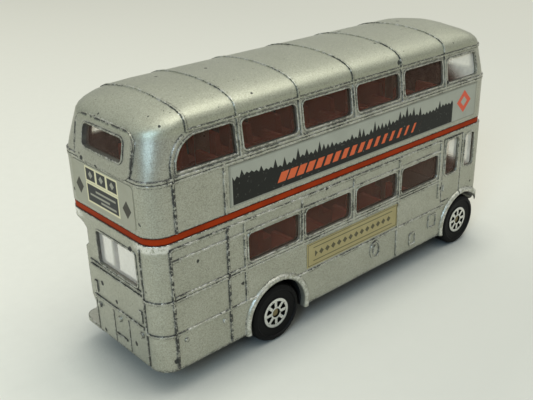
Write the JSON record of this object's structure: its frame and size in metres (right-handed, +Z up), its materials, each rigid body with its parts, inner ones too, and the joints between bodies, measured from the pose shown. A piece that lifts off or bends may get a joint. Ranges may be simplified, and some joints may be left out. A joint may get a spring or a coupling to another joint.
{
  "type": "toy double-decker bus",
  "caption": "Small die-cast toy double-decker bus with an open rear platform, half cab, glazed windows, moulded seats and free-rolling wheels on steel axles.",
  "frame": {"origin": "on the ground plane under the middle of the overall box, z = 0 at the bottom of the tyres", "axes": "+X towards the front of the bus, +Y towards the nearside with the open platform, +Z up"},
  "size_m": [0.126, 0.0386, 0.0709],
  "materials": {
    "cast_paint": "worn metallic silver paint on a zinc casting",
    "red_moulding": "orange-red moulded plastic",
    "clear": "clear moulded plastic, slightly hazy",
    "black_base": "black moulded plastic",
    "steel": "plain drawn steel wire",
    "wheel": "black moulded plastic, bright foil on the hub spokes",
    "banner": "printed film label",
    "plaque": "gold-toned printed film label",
    "end_label": "printed film label"
  },
  "bodies": {
    "shell": {"upper_body": "cast_paint", "lower_body": "cast_paint", "upper_deck": "red_moulding", "lower_deck": "red_moulding", "upper_glazing": "clear", "lower_glazing": "clear", "cab_glazing": "clear", "baseplate": "black_base", "offside_banner": "banner", "nearside_banner": "banner", "offside_plaque": "plaque", "nearside_plaque": "plaque", "rear_panel_label": "end_label", "front_panel_label": "end_label"},
    "front_wheelset": {"front_axle": "steel", "front_offside_wheel": "wheel", "front_nearside_wheel": "wheel"},
    "rear_wheelset": {"rear_axle": "steel", "rear_offside_wheel": "wheel", "rear_nearside_wheel": "wheel"}
  },
  "joints": [
    {"name": "front_wheels_roll", "type": "hinge", "parent": "shell", "child": "front_wheelset", "pos_m": [0.0537, 0, 0.0082], "axis": [0, 1, 0], "continuous": true},
    {"name": "rear_wheels_roll", "type": "hinge", "parent": "shell", "child": "rear_wheelset", "pos_m": [-0.0262, 0, 0.0082], "axis": [0, 1, 0], "continuous": true}
  ]
}
